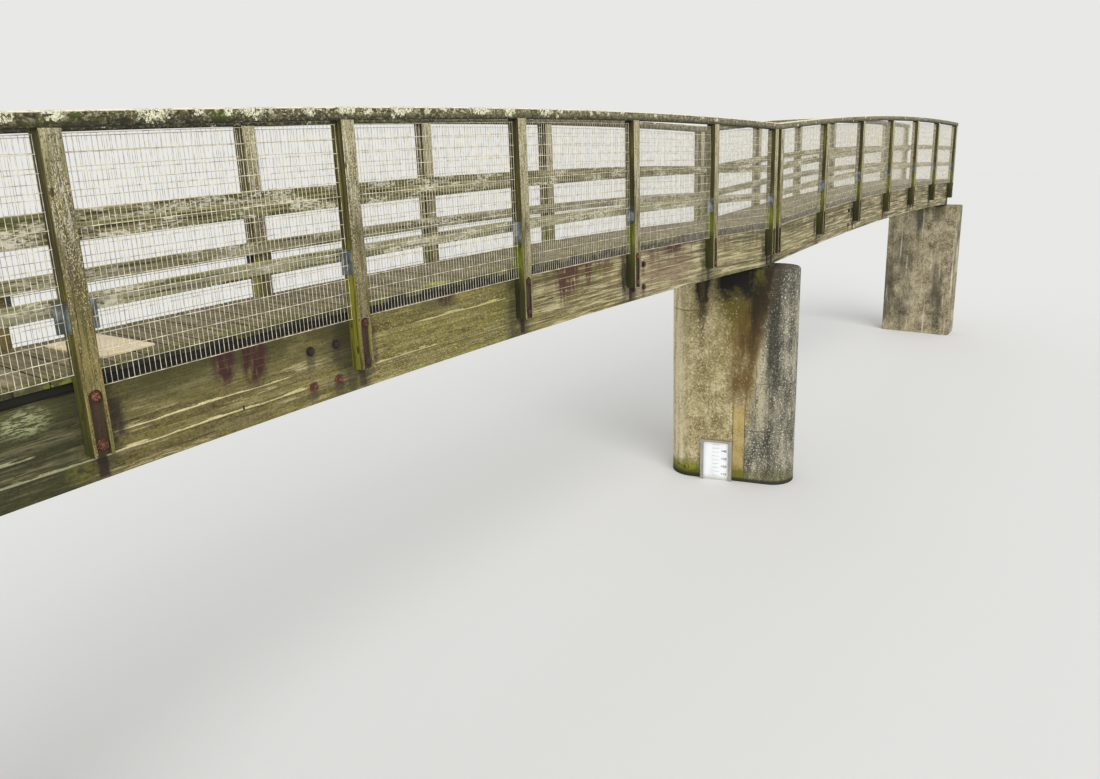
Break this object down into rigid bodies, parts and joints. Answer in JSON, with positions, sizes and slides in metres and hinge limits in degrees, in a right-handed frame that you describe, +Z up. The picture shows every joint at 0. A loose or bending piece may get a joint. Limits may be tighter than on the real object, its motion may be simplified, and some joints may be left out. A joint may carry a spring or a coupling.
{
  "type": "wooden footbridge",
  "caption": "Cambered laminated-timber footbridge with post-and-rail parapets, wire mesh infill and a round-ended concrete pier.",
  "frame": {"origin": "centre of the pier at the water line, on the bridge's centre line", "axes": "+X along the bridge towards the span that is shown whole, -Y towards the side that the picture shows, +Z up"},
  "size_m": [18.89, 1.4586, 4.3363],
  "materials": {
    "concrete": "rough",
    "bearing_rubber": "matte",
    "glulam": "weathered",
    "packing_timber": "weathered",
    "deck_timber": "weathered",
    "sheet_timber": "raw",
    "post_timber": "weathered",
    "rail_timber": "weathered",
    "galvanised_steel": "satin",
    "galvanised_wire": "satin",
    "gauge_plate": "satin"
  },
  "bodies": {
    "root": {"pier": "concrete", "left_abutment": "concrete", "right_abutment": "concrete", "pier_bearings": "bearing_rubber", "left_end_bearings": "bearing_rubber", "right_end_bearings": "bearing_rubber", "left_front_beam": "glulam", "left_back_beam": "glulam", "right_front_beam": "glulam", "right_back_beam": "glulam", "left_deck_strips": "packing_timber", "right_deck_strips": "packing_timber", "left_deck_boards": "deck_timber", "right_deck_boards": "deck_timber", "deck_patch": "sheet_timber", "left_cross_members": "glulam", "right_cross_members": "glulam", "left_cleats": "galvanised_steel", "right_cleats": "galvanised_steel", "left_front_posts": "post_timber", "left_back_posts": "post_timber", "right_front_posts": "post_timber", "right_back_posts": "post_timber", "left_front_handrail": "rail_timber", "left_back_handrail": "rail_timber", "right_front_handrail": "rail_timber", "right_back_handrail": "rail_timber", "left_front_midrails": "rail_timber", "left_back_midrails": "rail_timber", "right_front_midrails": "rail_timber", "right_back_midrails": "rail_timber", "left_front_mesh": "galvanised_wire", "left_back_mesh": "galvanised_wire", "right_front_mesh": "galvanised_wire", "right_back_mesh": "galvanised_wire", "left_front_brackets": "galvanised_steel", "left_back_brackets": "galvanised_steel", "right_front_brackets": "galvanised_steel", "right_back_brackets": "galvanised_steel", "gauge_board": "gauge_plate"}
  },
  "joints": []
}
